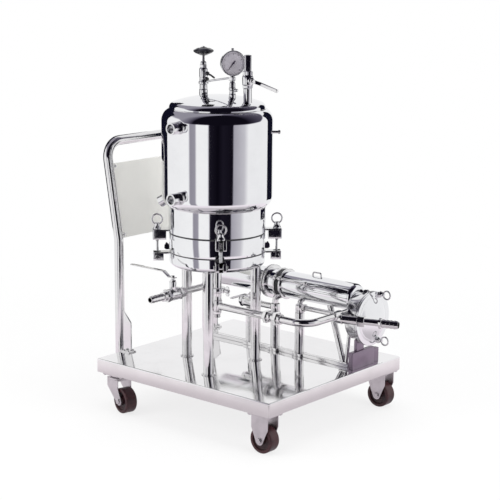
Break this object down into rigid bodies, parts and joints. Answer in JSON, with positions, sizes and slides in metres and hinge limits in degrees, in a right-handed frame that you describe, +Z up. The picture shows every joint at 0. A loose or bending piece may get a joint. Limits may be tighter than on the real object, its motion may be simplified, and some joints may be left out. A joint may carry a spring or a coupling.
{
  "type": "plate filter press",
  "caption": "Upright jacketed pressure tank clamped on a round plate filter drum, with a side filter housing and stainless pipework on a castored deck with a push handle.",
  "frame": {"origin": "on the floor under the middle of the overall outline", "axes": "+Z up; +X along the deck from the push handle to the inlet end; +Y across the deck, away from the outlet hose tail"},
  "size_m": [1.1784, 0.92, 1.422],
  "materials": {
    "steel_bright": "bright satin stainless steel",
    "steel_mirror": "mirror polished stainless steel",
    "steel_pipe": "fine satin stainless steel tube",
    "deck": "smooth matt stainless sheet",
    "castor_zinc": "dull plated steel",
    "wheel": "dark maroon solid wheel",
    "black": "black moulded handwheel",
    "dial": "white dial"
  },
  "bodies": {
    "chassis": {"air_valve": "steel_bright", "branch_pipes": "steel_pipe", "centre_clamp": "steel_bright", "centre_pipe": "steel_pipe", "deck_tray": "deck", "drum_base": "steel_mirror", "end_bolts": "steel_bright", "end_chamber": "steel_bright", "end_cover": "steel_mirror", "fixed_forks": "castor_zinc", "gauge_case": "steel_bright", "gauge_dial": "dial", "handle_gussets": "steel_pipe", "heating_jacket": "steel_mirror", "housing_stand": "steel_bright", "inner_tank": "steel_mirror", "jacket_sockets": "steel_bright", "lower_lugs": "steel_bright", "main_line": "steel_pipe", "outlet_pipe": "steel_pipe", "outlet_valve": "steel_bright", "plate_ring": "steel_mirror", "post_frame": "steel_pipe", "push_handle": "steel_pipe", "side_housing": "steel_mirror", "side_valve": "steel_bright", "sign_board": "deck", "swing_bolts": "steel_bright", "swivel_plates": "castor_zinc", "tube_stand": "steel_pipe", "underframe": "castor_zinc", "upper_lugs": "steel_bright", "vent_body": "steel_bright", "vessel_legs": "steel_pipe"},
    "near_swivel": {"swivel_fork_near": "castor_zinc"},
    "far_swivel": {"swivel_fork_far": "castor_zinc"},
    "near_handle_wheel": {"wheel_handle_near": "wheel"},
    "far_handle_wheel": {"wheel_handle_far": "wheel"},
    "near_end_wheel": {"wheel_far_end_near": "wheel"},
    "far_end_wheel": {"wheel_far_end_far": "wheel"},
    "vent_handwheel": {"handwheel": "black"},
    "air_valve_lever": {"air_lever": "steel_pipe"},
    "outlet_valve_lever": {"outlet_lever": "steel_pipe"},
    "side_valve_lever": {"side_lever": "steel_pipe"}
  },
  "joints": [
    {"name": "near_swivel_turn", "type": "hinge", "parent": "chassis", "child": "near_swivel", "pos_m": [-0.40677, -0.308, 0.137], "axis": [0, 0, 1], "continuous": true},
    {"name": "far_swivel_turn", "type": "hinge", "parent": "chassis", "child": "far_swivel", "pos_m": [-0.40677, 0.414, 0.137], "axis": [0, 0, 1], "continuous": true},
    {"name": "near_handle_wheel_roll", "type": "hinge", "parent": "near_swivel", "child": "near_handle_wheel", "pos_m": [-0.3639, -0.3179, 0.05], "axis": [0.225, 0.9744, 0], "continuous": true},
    {"name": "far_handle_wheel_roll", "type": "hinge", "parent": "far_swivel", "child": "far_handle_wheel", "pos_m": [-0.3639, 0.4041, 0.05], "axis": [0.225, 0.9744, 0], "continuous": true},
    {"name": "near_end_wheel_roll", "type": "hinge", "parent": "chassis", "child": "near_end_wheel", "pos_m": [0.33623, -0.308, 0.05], "axis": [0, 1, 0], "continuous": true},
    {"name": "far_end_wheel_roll", "type": "hinge", "parent": "chassis", "child": "far_end_wheel", "pos_m": [0.33623, 0.414, 0.05], "axis": [0, 1, 0], "continuous": true},
    {"name": "vent_handwheel_turn", "type": "hinge", "parent": "chassis", "child": "vent_handwheel", "pos_m": [-0.15777, -0.091, 1.403], "axis": [0, 0, 1], "continuous": true},
    {"name": "air_valve_turn", "type": "hinge", "parent": "chassis", "child": "air_valve_lever", "pos_m": [0.08949, -0.09884, 1.308], "axis": [0.9659, -0.2588, 0], "range_deg": [0, 90]},
    {"name": "outlet_valve_turn", "type": "hinge", "parent": "chassis", "child": "outlet_valve_lever", "pos_m": [-0.08777, -0.338, 0.5853], "axis": [0, 0, 1], "range_deg": [0, 90]},
    {"name": "side_valve_turn", "type": "hinge", "parent": "chassis", "child": "side_valve_lever", "pos_m": [-0.16777, 0.203, 0.4113], "axis": [0, 0, 1], "range_deg": [-90, 0]}
  ]
}
